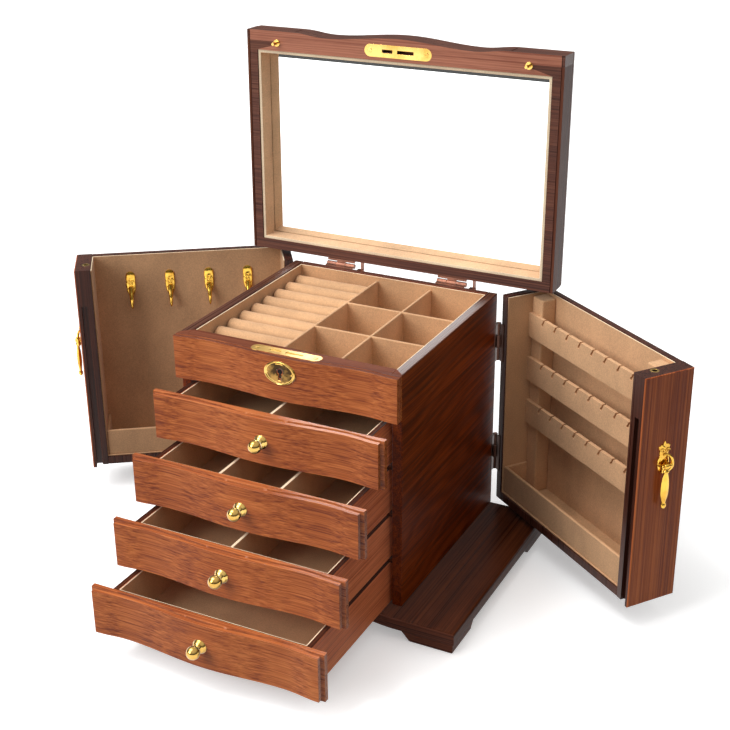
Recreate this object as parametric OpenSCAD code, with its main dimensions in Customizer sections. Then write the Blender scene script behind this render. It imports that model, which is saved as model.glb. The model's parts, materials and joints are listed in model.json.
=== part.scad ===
// Jewellery chest: a four-drawer case with a mirrored lid and two deep wing doors.
// X is right, Y is back, Z is up. The origin is the centre of the base's footprint, on the table.
// Every moving piece is drawn closed and then moved to the open display pose.

/* [Case] */
// Width of the case, which is also the width of the drawer fronts
case_w = 217; // [200:1:240]
// Depth of the case, from the flat ends of its front to its back
case_d = 217; // [200:1:240]
// Thickness of the case sides
side_t = 9.5; // [8:0.5:12]
// Thickness of the case back
back_t = 6; // [4:0.5:8]
// Height of the fixed rail that carries the lock
rail_h = 40.2; // [36:0.2:44]
// Thickness of the rail and of each drawer front at its flat ends
front_t = 9.5; // [9.5:0.1:11]
// Depth from the rail's front to the tray lining
rail_d = 19.5; // [18:0.5:22]

/* [Base] */
// Width of the base board
base_w = 333; // [325:1:350]
// Depth of the base board
base_d = 227; // [225:1:240]
// Thickness of the base board
base_t = 11; // [9:0.5:14]
// Height of the bracket feet
foot_h = 10; // [8:0.5:14]
// Length of each leg of a bracket foot
foot_l = 41; // [30:1:50]

/* [Serpentine front] */
// How far the middle of the front bulges forward
bow_out = 2.2; // [0:0.2:5]
// How far the front dips back on each side of the bulge
bow_dip = 2.8; // [0:0.2:3.4]
// Distance of each dip from the centre line
dip_x = 76; // [60:1:85]

/* [Drawers] */
// Height of one drawer bay
bay_h = 45.7; // [44:0.1:48]
// Thickness of the shelves between the bays
shelf_t = 3; // [2:0.5:3.5]
// Thickness of a drawer's wooden walls
wall_t = 5; // [4:0.5:6]
// How far each drawer is pulled out, from the top one down
drawer_out = [35, 71.5, 105, 142];
// Number of dividers in each drawer, from the top one down
drawer_splits = [1, 2, 1, 0];

/* [Tray] */
// Number of ring rolls
ring_rolls_n = 9; // [6:1:10]
// X of the long divider beside the ring rolls
tray_split_x = -14; // [-30:1:0]
// How far the tray dividers stop below the case top
tray_drop = 5; // [3:0.5:8]

/* [Lid] */
// Width of the lid
lid_w = 320; // [315:1:325]
// Thickness of the lid
lid_t = 25.5; // [22:0.5:30]
// Thickness of the lid's top panel
lid_panel_t = 5; // [4:0.5:6]
// Gap between the case and the closed lid
lid_gap = 1.7; // [1.7:0.1:2.5]
// How far the lid is open
lid_angle = 91; // [0:1:91]

/* [Doors] */
// Width of each wing door across its front
door_t = 50; // [45:1:52]
// Gap between the case side and a closed door
door_gap = 1.5; // [1.5:0.1:2]
// Thickness of the solid stile behind the door's front face
stile_t = 16; // [14:1:18]
// Thickness of the door's outer panel
panel_t = 6; // [5:0.5:8]
// How far the right door is open
right_angle = 53.6; // [0:0.1:90]
// How far the left door is open
left_angle = 55.3; // [0:0.1:90]

/* [Hidden] */

$fn = 48;
wood_front = "#a8532e";
wood_side = "#6b3420";
wood_dark = "#4a2418";
velvet = "#c79b6f";
brass = "#d8b24a";
bronze = "#5a3b2a";
glass = "#dfe6ea";

eps = 0.01;
bow_steps = 48;                       // straight steps along a serpentine front
front_y = -base_d / 2 + 9.5;          // flat ends of the case front
back_y = front_y + case_d;            // back of the case
body_y = front_y + front_t;           // front edges of the case sides
floor_z = foot_h + base_t;            // top of the base board
top_z = floor_z + 4 * bay_h + rail_h; // top of the case
rail_z = top_z - rail_h;              // bottom of the fixed rail
in_x = case_w / 2 - side_t;           // inner faces of the case sides
in_back_y = back_y - back_t;          // front of the case back
velvet_t = 1.2;                       // lining on a wall
bead_t = 3.8;                         // face layer of a serpentine front
quirk_w = 1;                          // groove behind the face layer
tongue_out = 3.3;                     // how far a drawer front's back layer passes the case
tray_z = rail_z + 3;                  // top of the tray floor
tray_front_y = front_y + rail_d;
tray_in_x = in_x - velvet_t;
tray_in_front = tray_front_y + velvet_t;
tray_in_back = in_back_y - velvet_t;
split_t = 2.6;                        // thickness of a velvet-covered divider
box_x = in_x - 3;                     // half the outer width of a drawer box
box_h = 41.5;                         // height of a drawer box
box_lift = 0.2;                       // clearance under a drawer box
box_back_y = in_back_y - 6;
box_floor_t = 3;
face_z = 2.2;                         // bottom of a drawer's face layer above its bay
face_h = 41.4;
tongue_z = 0.6;                       // bottom of a drawer's back layer above its bay
tongue_h = 44.3;
lid_z = top_z + lid_gap;              // rim of the closed lid
lid_side_t = 11;
lid_back_t = 9.5;
lid_front_t = 18.5;
mirror_t = 2.5;
hinge_y = back_y + 5;                 // axis of the lid hinges
hinge_z = top_z + lid_gap / 2;
lid_hinge_x = 59.5;                   // centre of each lid hinge
lid_hinge_l = 30;
lid_stop_x = lid_hinge_l + 7;         // lid stops, measured from the start of a hinge
door_in_x = case_w / 2 + door_gap;    // inner face of a closed door
door_out_x = door_in_x + door_t;
door_axis_x = case_w / 2 + door_gap / 2;
door_axis_y = back_y + 3.7;
door_z = floor_z + 6;                 // bottom of the door's box
door_face_z = floor_z + 3;            // bottom of the door's front face
door_top_z = top_z - 1;
door_stile_back_y = front_y + stile_t;
door_rear_t = 8.5;
door_floor_t = 9;
door_hinge_zs = [top_z - 167, top_z - 50];
door_hinge_l = 38;
door_leaf_w = 8;
leaf_t = 0.7;
knuckle_r = 2.4;
pin_r = 1.05;
bore_r = 1.1;
lock_y = front_y + 9.8;               // middle of the lock and strike plates
plate_l = 68;
plate_w = 11.5;
plate_t = 1.2;
key_z = top_z - 14;                   // centre of the escutcheon
stud_x = door_in_x + 17.3;            // lid pins and door sockets
stud_y = front_y + 11;
handle_z = floor_z + 139;             // pivot of a drop handle
handle_y = front_y - 5.2;
handle_plate_t = 1.6;
bar_x = door_in_x + 24;               // front of the necklace bars
bar_t = 3.5;
bar_h = 24.3;
bar_tops = [top_z - 110.6, top_z - 65.4, top_z - 20.2];
notches_n = 9;
notch_pitch = 19.4;
hook_ys = [for (i = [0:3]) front_y + 52.5 + 40 * i];
hook_z = top_z - 20;

// Forward reach of the serpentine front at x: a bulge, a dip on each side, and flat ends.
function bow(x) =
    abs(x) >= case_w / 2 ? 0
    : abs(x) <= dip_x ? (bow_out - bow_dip) / 2 + (bow_out + bow_dip) / 2 * cos(180 * x / dip_x)
    : -bow_dip * (1 + cos(180 * (abs(x) - dip_x) / (case_w / 2 - dip_x))) / 2;

function bow_xs(w) = [for (i = [0:bow_steps]) -w / 2 + w * i / bow_steps];

// A box given by its lowest and highest corners.
module block(low, high) {
    translate(low) cube(high - low);
}

// A plate with a serpentine front. Its back follows the front, or is flat at back.
module bow_plate(w, near, far, z0, z1, back = undef) {
    xs = bow_xs(w);
    front_line = [for (x = xs) [x, front_y - bow(x) + near]];
    back_line = [for (i = [bow_steps:-1:0])
        [xs[i], is_undef(back) ? front_y - bow(xs[i]) + far : back]];
    translate([0, 0, z0])
        linear_extrude(z1 - z0) polygon(concat(front_line, back_line));
}

// A round rod from one point, along one axis: 0 is X, 1 is Y and 2 is Z.
module rod(start, length, r, axis = 2) {
    turn = [[0, 90, 0], [-90, 0, 0], [0, 0, 0]][axis];
    translate(start) rotate(turn) cylinder(h = length, r = r);
}

// The children and their mirror image on the left.
module both_sides() {
    for (m = [0, 1]) mirror([m, 0, 0]) children();
}

module lid_pose() {
    translate([0, hinge_y, hinge_z]) rotate([-lid_angle, 0, 0])
        translate([0, -hinge_y, -hinge_z]) children();
}

// The right door's pose. The left door is its mirror image with its own angle.
module right_pose() {
    translate([door_axis_x, door_axis_y, 0]) rotate([0, 0, right_angle])
        translate([-door_axis_x, -door_axis_y, 0]) children();
}

module left_pose() {
    mirror([1, 0, 0])
        translate([door_axis_x, door_axis_y, 0]) rotate([0, 0, left_angle])
            translate([-door_axis_x, -door_axis_y, 0]) children();
}

module drawer_pose(i) {
    translate([0, -drawer_out[i], 0]) children();
}

function bay_z(i) = floor_z + (3 - i) * bay_h;

// ---- Base ----

// A board outline with a serpentine front, drawn in by inset all round.
module base_outline(inset) {
    xs = bow_xs(case_w);
    y0 = -base_d / 2 + inset;
    y1 = base_d / 2 - inset;
    x1 = base_w / 2 - inset;
    polygon(concat([[-x1, y1], [-x1, y0]], [for (x = xs) [x, y0 - bow(x)]], [[x1, y0], [x1, y1]]));
}

module base_board() {
    step = base_t * 0.4;
    color(wood_side) {
        translate([0, 0, foot_h]) linear_extrude(base_t - step + eps) base_outline(0);
        translate([0, 0, floor_z - step]) linear_extrude(step) base_outline(1.6);
    }
}

// One leg of a bracket foot along +X, cut back to a slant at its free end.
module foot_leg() {
    slant = 9;
    foot_t = 12;
    translate([0, foot_t, 0]) rotate([90, 0, 0])
        linear_extrude(foot_t)
            polygon([[0, 0], [foot_l, 0], [foot_l + slant, foot_h], [0, foot_h]]);
}

module corner_foot() {
    inset = 2;
    translate([-base_w / 2 + inset, -base_d / 2 + inset, 0]) {
        foot_leg();
        mirror([1, -1, 0]) foot_leg();
    }
}

module feet() {
    color(wood_side) both_sides()
        for (m = [0, 1]) mirror([0, m, 0]) corner_foot();
}

// ---- Case ----

module right_side() {
    color(wood_side) block([in_x, body_y, floor_z], [case_w / 2, back_y, top_z]);
}

module left_side() {
    mirror([1, 0, 0]) right_side();
}

module case_back() {
    color(wood_side) block([-in_x, in_back_y, floor_z], [in_x, back_y, top_z]);
}

module drawer_shelves() {
    color(wood_dark)
        for (i = [0:2])
            block([-in_x, body_y, bay_z(i) - shelf_t], [in_x, in_back_y, bay_z(i)]);
}

module tray_floor() {
    color(wood_dark) block([-in_x, tray_front_y, rail_z], [in_x, in_back_y, tray_z]);
}

// The keyhole outline, in the plane of a plate whose face looks along -Y.
module keyhole(depth) {
    key_r = 2.3;
    slot_w = 2;
    rod([0, 0, 0], depth, key_r, 1);
    translate([-slot_w / 2, 0, -6]) cube([slot_w, depth, 6]);
}

module front_rail() {
    edge = 2.5;
    key_y = front_y - bow_out - 1;
    color(wood_front) difference() {
        union() {
            bow_plate(case_w, 0, bead_t, rail_z, top_z);
            bow_plate(case_w - 2 * edge, bead_t - 0.5, bead_t + quirk_w + 0.5, rail_z + edge, top_z - edge);
            bow_plate(case_w, bead_t + quirk_w, 0, rail_z, top_z, back = body_y);
            block([-in_x, body_y - eps, rail_z], [in_x, tray_front_y, top_z]);
        }
        block([-24, lock_y - 4.8, top_z - 27], [24, lock_y + 4.8, top_z + 1]);
        plate_outline(top_z - plate_t, 1 + plate_t, 0.1);
        translate([0, key_y, key_z + 1]) keyhole(lock_y - key_y);
    }
}

// ---- Lock ----

// The round-ended outline of the lock plate and of the strike plate.
module plate_outline(z, t, grow = 0) {
    r = plate_w / 2 + grow;
    half = plate_l / 2 - plate_w / 2;
    translate([0, lock_y, z]) {
        for (s = [-1, 1]) translate([s * half, 0, 0]) cylinder(h = t, r = r);
        translate([-half, -r, 0]) cube([2 * half, 2 * r, t]);
    }
}

module plate_slots(z, t) {
    for (span = [[-16, -5.4], [-0.6, 16]])
        block([span[0], lock_y - 1.6, z - 1], [span[1], lock_y + 1.6, z + t + 1]);
}

module screw_head(z, up) {
    for (x = [-28.5, 28.5])
        translate([x, lock_y, z]) mirror([0, 0, up ? 0 : 1]) difference() {
            cylinder(h = 0.5, r = 2.2);
            translate([-3, -0.3, 0.25]) cube([6, 0.6, 1]);
        }
}

module lock_plate() {
    color(brass) {
        difference() {
            plate_outline(top_z - plate_t, plate_t);
            plate_slots(top_z - plate_t, plate_t);
        }
        screw_head(top_z - eps, true);
    }
}

module lock_case() {
    lock_x = 23.8;
    lock_bottom = top_z - 26.8;
    wall = 0.8;
    color(brass) difference() {
        block([-lock_x, lock_y - 4.6, lock_bottom], [lock_x, lock_y + 4.6, top_z - plate_t]);
        block([-lock_x + wall, lock_y - 4.6 + wall, lock_bottom + wall],
            [lock_x - wall, lock_y + 4.6 - wall, top_z - plate_t + 1]);
        translate([0, lock_y - 6, key_z + 1]) keyhole(3);
    }
}

// A double hook that rises through the slots of the lock plate. It is drawn lowered.
module lock_bolt() {
    rise = 5;
    hook_top = top_z - 1.5;
    bar_top = top_z - plate_t - rise - 0.4;
    color(brass) {
        block([-20, lock_y - 1, bar_top - 2.6], [20, lock_y + 1, bar_top]);
        for (x = [-10, 10]) {
            block([x - 2.2, lock_y - 1, bar_top - eps], [x + 2.2, lock_y + 1, hook_top]);
            block([x - 5, lock_y - 1, hook_top - 1.5], [x + 2.2, lock_y + 1, hook_top]);
        }
    }
}

// An oval prism that stands forward, towards -Y, from y.
module oval(y, half_w, half_h, t) {
    step = 7.5;
    translate([0, y, key_z]) rotate([90, 0, 0])
        linear_extrude(t) polygon([for (a = [0:step:360 - step]) [half_w * cos(a), half_h * sin(a)]]);
}

// An oval plate with a raised rim and two pins. Its back follows the rail's bulge.
module escutcheon() {
    half_w = 15;
    half_h = 10.5;
    t = 1.6;
    rim = 1.6;
    sunk = 0.6;
    plate_y = front_y - bow_out - 0.05;
    color(brass) {
        difference() {
            oval(plate_y + 2, half_w, half_h, t + 2);
            oval(plate_y - t + sunk, half_w - rim, half_h - rim, t);
            bow_plate(case_w, -0.05, bead_t, key_z - 15, top_z - 1);
            translate([0, plate_y - 5, key_z + 1]) keyhole(10);
        }
        for (x = [-12, 12]) rod([x, plate_y - t + 0.1, key_z], 1, 0.9, 1);
    }
}

// ---- Tray ----

// Velvet walls and floor of an open box, given by the corners of the space that it lines.
module lining(low, high) {
    color(velvet) difference() {
        block(low, high);
        block(low + [velvet_t, velvet_t, velvet_t], high - [velvet_t, velvet_t, -1]);
    }
}

module tray_lining() {
    lining([-in_x, tray_front_y, tray_z], [in_x, in_back_y, top_z - 1]);
}

tray_div_z = tray_z + velvet_t;
tray_div_top = top_z - tray_drop;
col_w = (tray_in_x - tray_split_x - 1.5 * split_t) / 2;
tray_split_2x = tray_split_x + split_t + col_w;
row_step = (tray_in_back - tray_in_front) / 3;

module tray_dividers() {
    color(velvet) {
        for (x = [tray_split_x, tray_split_2x])
            block([x - split_t / 2, tray_in_front, tray_div_z],
                [x + split_t / 2, tray_in_back, tray_div_top]);
        for (i = [1, 2]) {
            y = tray_in_front + i * row_step;
            block([tray_split_x, y - split_t / 2, tray_div_z],
                [tray_in_x, y + split_t / 2, tray_div_top]);
        }
    }
}

// A row of half-round rolls that lie side by side across the left of the tray.
module ring_rolls() {
    roll_step = (tray_in_back - tray_in_front) / ring_rolls_n;
    roll_r = roll_step / 2 - 0.3;
    x0 = -tray_in_x + 0.2;
    roll_len = tray_split_x - split_t / 2 - 0.2 - x0;
    roll_z = top_z - 7.5 - roll_r;
    color(velvet)
        for (i = [0:ring_rolls_n - 1]) {
            y = tray_in_front + (i + 0.5) * roll_step;
            rod([x0, y, roll_z], roll_len, roll_r, 0);
            block([x0, y - roll_r, tray_div_z], [x0 + roll_len, y + roll_r, roll_z]);
        }
}

// ---- Hinges ----

// One leaf of a butt hinge. Its barrel starts at the origin and runs along +X, and its plate
// lies towards -Y with its outer face at height off. The inner leaf has the middle knuckle.
module hinge_leaf(length, width, off, inner) {
    third = length / 3;
    gap = 0.15;
    own = inner ? [1] : [0, 2];
    other = inner ? [0, 2] : [1];
    clear_r = knuckle_r + 0.6;
    difference() {
        union() {
            block([0, -width, off - leaf_t], [length, 0, off]);
            for (k = own) rod([k * third, 0, 0], third, knuckle_r, 0);
        }
        for (k = other)
            block([k * third - gap, -clear_r, -clear_r], [(k + 1) * third + gap, clear_r, clear_r]);
        rod([-1, 0, 0], length + 2, bore_r, 0);
    }
}

module at_lid_hinges() {
    for (x = [-lid_hinge_x, lid_hinge_x])
        translate([x - lid_hinge_l / 2, hinge_y, hinge_z]) children();
}

module at_door_hinges() {
    for (z = door_hinge_zs)
        translate([door_axis_x, door_axis_y, z - door_hinge_l / 2]) rotate([0, -90, 0]) children();
}

// A leaf whose plate turns the corner and lies on the back of the case or of the lid.
module back_leaf(inner) {
    on_back = back_y - hinge_y;
    hinge_leaf(lid_hinge_l, -on_back, lid_gap / 2, inner);
    block([0, on_back, lid_gap / 2 - leaf_t], [lid_hinge_l, on_back + leaf_t, 14]);
}

// The fixed leaves, each with a stop block beside it on the back of the case.
module lid_hinge_fixed_leaves() {
    color(bronze) at_lid_hinges() {
        mirror([0, 0, 1]) back_leaf(false);
        block([lid_stop_x - 3, back_y - hinge_y, -9], [lid_stop_x + 3, 0.6, -1.4]);
    }
}

// The moving leaves, each with an arm that meets the stop block when the lid is open.
module lid_hinge_leaves() {
    color(bronze) lid_pose() at_lid_hinges() {
        back_leaf(true);
        block([lid_stop_x - 0.8, back_y - hinge_y, lid_gap / 2], [lid_stop_x + 0.8, 3, 5.4]);
    }
}

module door_hinge_fixed_leaves() {
    color(bronze) both_sides() at_door_hinges()
        hinge_leaf(door_hinge_l, door_leaf_w, door_gap / 2, false);
}

module door_hinge_leaves() {
    color(bronze) at_door_hinges() mirror([0, 0, 1])
        hinge_leaf(door_hinge_l, door_leaf_w, door_gap / 2, true);
}

module hinge_pins() {
    color(bronze) {
        at_lid_hinges() rod([-0.5, 0, 0], lid_hinge_l + 1, pin_r, 0);
        both_sides() at_door_hinges() rod([-0.5, 0, 0], door_hinge_l + 1, pin_r, 0);
    }
}

// ---- Lid ----

// The lid's outline with its serpentine front.
module lid_outline() {
    xs = bow_xs(case_w);
    polygon(concat([[-lid_w / 2, back_y], [-lid_w / 2, front_y]],
        [for (x = xs) [x, front_y - bow(x)]],
        [[lid_w / 2, front_y], [lid_w / 2, back_y]]));
}

lid_hollow_x = lid_w / 2 - lid_side_t;
lid_hollow_y0 = front_y + lid_front_t;
lid_hollow_y1 = back_y - lid_back_t;
lid_ceiling_z = lid_z + lid_t - lid_panel_t;
lid_velvet_t = 3;

module lid_frame() {
    color(wood_side) lid_pose() difference() {
        translate([0, 0, lid_z]) linear_extrude(lid_t - lid_panel_t) lid_outline();
        block([-lid_hollow_x, lid_hollow_y0, lid_z - 1], [lid_hollow_x, lid_hollow_y1, lid_z + lid_t]);
        plate_outline(lid_z - 1, 1 + plate_t, 0.1);
        plate_slots(lid_z, 8);
        both_sides() rod([stud_x, stud_y, lid_z - 1], 7, 1.55);
        both_sides()
            block([case_w / 2, front_y - 1, lid_z + 4], [case_w / 2 + 1.2, front_y + 1.2, lid_z + lid_t]);
    }
}

module lid_panel() {
    color(wood_side) lid_pose()
        translate([0, 0, lid_ceiling_z]) linear_extrude(lid_panel_t) lid_outline();
}

module lid_mirror() {
    edge = 0.2;
    color(glass) lid_pose()
        block([-lid_hollow_x + edge, lid_hollow_y0 + edge, lid_ceiling_z - mirror_t],
            [lid_hollow_x - edge, lid_hollow_y1 - edge, lid_ceiling_z]);
}

module lid_lining() {
    low = [-lid_hollow_x, lid_hollow_y0, lid_z + 1];
    high = [lid_hollow_x, lid_hollow_y1, lid_ceiling_z - mirror_t];
    color(velvet) lid_pose() difference() {
        block(low, high);
        block(low + [lid_velvet_t, lid_velvet_t, -1], high - [lid_velvet_t, lid_velvet_t, -1]);
    }
}

module strike_plate() {
    color(brass) lid_pose() {
        difference() {
            plate_outline(lid_z, plate_t);
            plate_slots(lid_z, plate_t);
        }
        screw_head(lid_z + eps, false);
    }
}

// Pins that drop into the sockets of the closed doors, each with a washer and its screw.
module lid_pins() {
    color(brass) lid_pose() both_sides() {
        rod([stud_x, stud_y, lid_z - 8], 13, 1.5);
        rod([stud_x, stud_y, lid_z - 0.8], 0.8, 3.4);
    }
}

// ---- Wing doors, drawn for the right side ----

module door_front() {
    groove_top = door_top_z - 38;
    color(wood_front) difference() {
        union() {
            block([door_in_x, front_y, door_face_z], [door_out_x, front_y + bead_t, door_top_z]);
            block([door_in_x, front_y + bead_t - eps, door_z], [door_out_x, door_stile_back_y, door_top_z]);
        }
        block([door_in_x - 1, front_y + 4, door_face_z - 1], [door_in_x + 3.8, front_y + 10, groove_top]);
        rod([stud_x, stud_y, door_top_z - 12], 13, 2.6);
        rod([stud_x, stud_y, door_top_z - 1.1], 2, 4.1);
    }
}

module door_shell() {
    rear_y = back_y - door_rear_t;
    color(wood_side) {
        block([door_out_x - panel_t, door_stile_back_y, door_z], [door_out_x, back_y, door_top_z]);
        block([door_in_x, rear_y, door_z], [door_out_x - panel_t + eps, back_y, door_top_z]);
        block([door_in_x, door_stile_back_y, door_z],
            [door_out_x - panel_t + eps, rear_y + eps, door_z + door_floor_t]);
    }
}

door_lined_x = door_out_x - panel_t - velvet_t;
door_lined_y0 = door_stile_back_y + velvet_t;
door_lined_y1 = back_y - door_rear_t - velvet_t;
door_lined_z = door_z + door_floor_t;

module door_lining() {
    low = [door_in_x + 0.8, door_stile_back_y, door_lined_z];
    high = [door_out_x - panel_t, back_y - door_rear_t, door_top_z - 0.8];
    color(velvet) difference() {
        block(low, high);
        block(low + [-1, velvet_t, velvet_t], high - [velvet_t, velvet_t, -1]);
    }
}

// A low wall across the bottom of a door, with a wall at each end that runs back to deep_x.
module door_pocket(deep_x) {
    wall = 3;
    low_z = door_lined_z + velvet_t;
    high_z = door_lined_z + 29;
    color(velvet) {
        block([door_in_x + 2, door_lined_y0, low_z], [door_in_x + 2 + wall, door_lined_y1, high_z]);
        for (y = [door_lined_y0, door_lined_y1 - wall])
            block([door_in_x + 2, y, low_z], [deep_x, y + wall, high_z]);
    }
}

module door_socket() {
    color(brass) difference() {
        union() {
            rod([stud_x, stud_y, door_top_z - 1], 1, 4);
            rod([stud_x, stud_y, door_top_z - 9], 9, 2.55);
        }
        rod([stud_x, stud_y, door_top_z - 10], 12, 2.1);
    }
}

handle_x = door_in_x + door_t / 2;

// A waisted back plate with two eyes for the drop's pivot. Each lobe is [height, radius].
module handle_plate() {
    lobes = [[19.5, 2.2], [15, 3.6], [9.5, 5], [2, 6], [-5, 4]];
    eye_x = 4.2;
    eye_w = 2;
    color(brass) {
        translate([handle_x, front_y, handle_z]) rotate([90, 0, 0]) linear_extrude(handle_plate_t)
            for (lobe = lobes) translate([0, lobe[0]]) circle(r = lobe[1]);
        for (x = [handle_x - eye_x, handle_x + eye_x]) difference() {
            union() {
                rod([x - eye_w / 2, handle_y, handle_z], eye_w, 2, 0);
                block([x - eye_w / 2, handle_y, handle_z - 2], [x + eye_w / 2, front_y - 1, handle_z + 2]);
            }
            rod([x - eye_w, handle_y, handle_z], 2 * eye_w, 0.85, 0);
        }
    }
}

// A drop that hangs from its pivot pin: an eye, a collar and a long tear with a ball tip.
module handle_drop() {
    color(brass) {
        rod([handle_x - 5.4, handle_y, handle_z], 10.8, 0.8, 0);
        rod([handle_x - 2.6, handle_y, handle_z], 5.2, 2.4, 0);
        translate([handle_x, handle_y, handle_z]) rotate_extrude()
            polygon([[0, -1], [1.4, -1], [1.4, -4], [2.6, -5], [2.6, -6.2], [1.8, -7],
                [2.6, -12], [3.2, -20], [3.1, -27], [2.3, -33], [1.5, -35], [2.3, -36.6],
                [2.5, -38], [1.8, -39.8], [0, -40.6]]);
    }
}

module necklace_hooks() {
    back_x = door_lined_x;
    color(brass) left_pose()
        for (y = hook_ys) {
            for (k = [0:3])
                rod([back_x - 1.6, y, hook_z - 4 - 7 * k], 1.6, 4.4 - 0.7 * k, 0);
            block([back_x - 1.6, y - 1.6, hook_z - 30], [back_x, y + 1.6, hook_z - 2]);
            rod([back_x - 7, y, hook_z - 28], 6, 1.3, 0);
            rod([back_x - 7, y, hook_z - 29.3], 9, 1.3);
            translate([back_x - 7, y, hook_z - 20]) sphere(r = 1.9);
            rod([back_x - 2.4, y, hook_z - 38], 8, 1.2);
        }
}

module necklace_bars() {
    color(velvet) right_pose()
        for (z = bar_tops) difference() {
            block([bar_x, door_lined_y0, z - bar_h], [bar_x + bar_t, door_lined_y1, z]);
            for (i = [0:notches_n - 1])
                translate([bar_x - 1, front_y + 27 + notch_pitch * i, z]) {
                    rotate([25, 0, 0]) translate([0, -0.8, -5.6]) cube([bar_t + 2, 1.6, 9]);
                    rod([0, 2.4, -5.2], bar_t + 2, 1.5, 0);
                }
        }
}

module bar_cleats() {
    cleat_w = 16.5;
    low_z = door_lined_z + velvet_t;
    high_z = door_top_z - 3.5;
    color(velvet) right_pose() {
        block([bar_x + bar_t, door_lined_y0, low_z], [door_lined_x, door_lined_y0 + cleat_w, high_z]);
        block([bar_x + bar_t, door_lined_y1 - cleat_w, low_z], [door_lined_x, door_lined_y1, high_z]);
    }
}

// ---- Drawers ----

// A serpentine face layer, a groove, and a flat-backed layer that passes the case sides.
module drawer_front(i) {
    z = bay_z(i);
    inset = 2.5;
    color(wood_front) drawer_pose(i) {
        bow_plate(case_w, 0, bead_t, z + face_z, z + face_z + face_h);
        bow_plate(case_w - 2 * inset, bead_t - 0.5, bead_t + quirk_w + 0.5,
            z + face_z + inset, z + face_z + face_h - inset);
        bow_plate(case_w + 2 * tongue_out, bead_t + quirk_w, 0, z + tongue_z, z + tongue_z + tongue_h,
            back = body_y - 0.2);
    }
}

module drawer_box(i) {
    z0 = bay_z(i) + box_lift;
    y0 = body_y - 0.2;
    color(wood_dark) drawer_pose(i) difference() {
        block([-box_x, y0, z0], [box_x, box_back_y, z0 + box_h]);
        block([-box_x + wall_t, y0 + wall_t, z0 + box_floor_t],
            [box_x - wall_t, box_back_y - wall_t, z0 + box_h + 1]);
    }
}

module drawer_lining(i) {
    z0 = bay_z(i) + box_lift + box_floor_t;
    y0 = body_y - 0.2 + wall_t;
    in_w = 2 * (box_x - wall_t - velvet_t);
    n = drawer_splits[i];
    top = bay_z(i) + box_lift + box_h - 0.6;
    color(velvet) drawer_pose(i) {
        lining([-box_x + wall_t, y0, z0], [box_x - wall_t, box_back_y - wall_t, top]);
        for (k = [1:1:n]) {
            x = -in_w / 2 + in_w * k / (n + 1);
            block([x - split_t / 2, y0 + velvet_t - eps, z0 + velvet_t - eps],
                [x + split_t / 2, box_back_y - wall_t - velvet_t + eps, top]);
        }
    }
}

module drawer_knob(i) {
    knob_y = front_y - bow_out;
    ball_r = 5.8;
    reach = 10;
    color(brass) drawer_pose(i)
        translate([0, knob_y, bay_z(i) + face_z + face_h / 2]) rotate([90, 0, 0]) {
            rotate_extrude()
                polygon([[0, 0], [6.4, 0], [6.4, 1.2], [5.4, 2.6], [3.8, 3.6], [3.2, 5.6], [0, 5.6]]);
            translate([0, 0, reach]) sphere(r = ball_r);
        }
}

// ---- Mirrored and paired nodes ----

module right_door_front() { right_pose() door_front(); }
module right_door_shell() { right_pose() door_shell(); }
module right_door_lining() { right_pose() door_lining(); }
module right_door_pocket() { right_pose() door_pocket(bar_x + bar_t); }
module right_door_socket() { right_pose() door_socket(); }
module right_handle_plate() { right_pose() handle_plate(); }
module right_handle_drop() { right_pose() handle_drop(); }
module right_door_hinge_leaves() { right_pose() door_hinge_leaves(); }
module left_door_front() { left_pose() door_front(); }
module left_door_shell() { left_pose() door_shell(); }
module left_door_lining() { left_pose() door_lining(); }
module left_door_pocket() { left_pose() door_pocket(door_lined_x); }
module left_door_socket() { left_pose() door_socket(); }
module left_handle_plate() { left_pose() handle_plate(); }
module left_handle_drop() { left_pose() handle_drop(); }
module left_door_hinge_leaves() { left_pose() door_hinge_leaves(); }

base_board();
feet();
left_side();
right_side();
case_back();
drawer_shelves();
tray_floor();
front_rail();
tray_lining();
tray_dividers();
ring_rolls();
lock_plate();
lock_case();
lock_bolt();
escutcheon();
lid_hinge_fixed_leaves();
door_hinge_fixed_leaves();
hinge_pins();
lid_frame();
lid_panel();
lid_mirror();
lid_lining();
strike_plate();
lid_pins();
lid_hinge_leaves();
left_door_front();
left_door_shell();
left_door_lining();
left_door_pocket();
necklace_hooks();
left_door_socket();
left_handle_plate();
left_handle_drop();
left_door_hinge_leaves();
right_door_front();
right_door_shell();
right_door_lining();
right_door_pocket();
necklace_bars();
bar_cleats();
right_door_socket();
right_handle_plate();
right_handle_drop();
right_door_hinge_leaves();
for (i = [0:3]) {
    drawer_front(i);
    drawer_box(i);
    drawer_lining(i);
    drawer_knob(i);
}
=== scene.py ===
"""A jewellery chest with a mirrored lid, two wing doors and four drawers, in metres."""

import json
from math import asin, atan2, cos, exp, pi, radians, sin, sqrt, tau

import bmesh
import bpy
from mathutils import Matrix, Vector, noise

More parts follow.
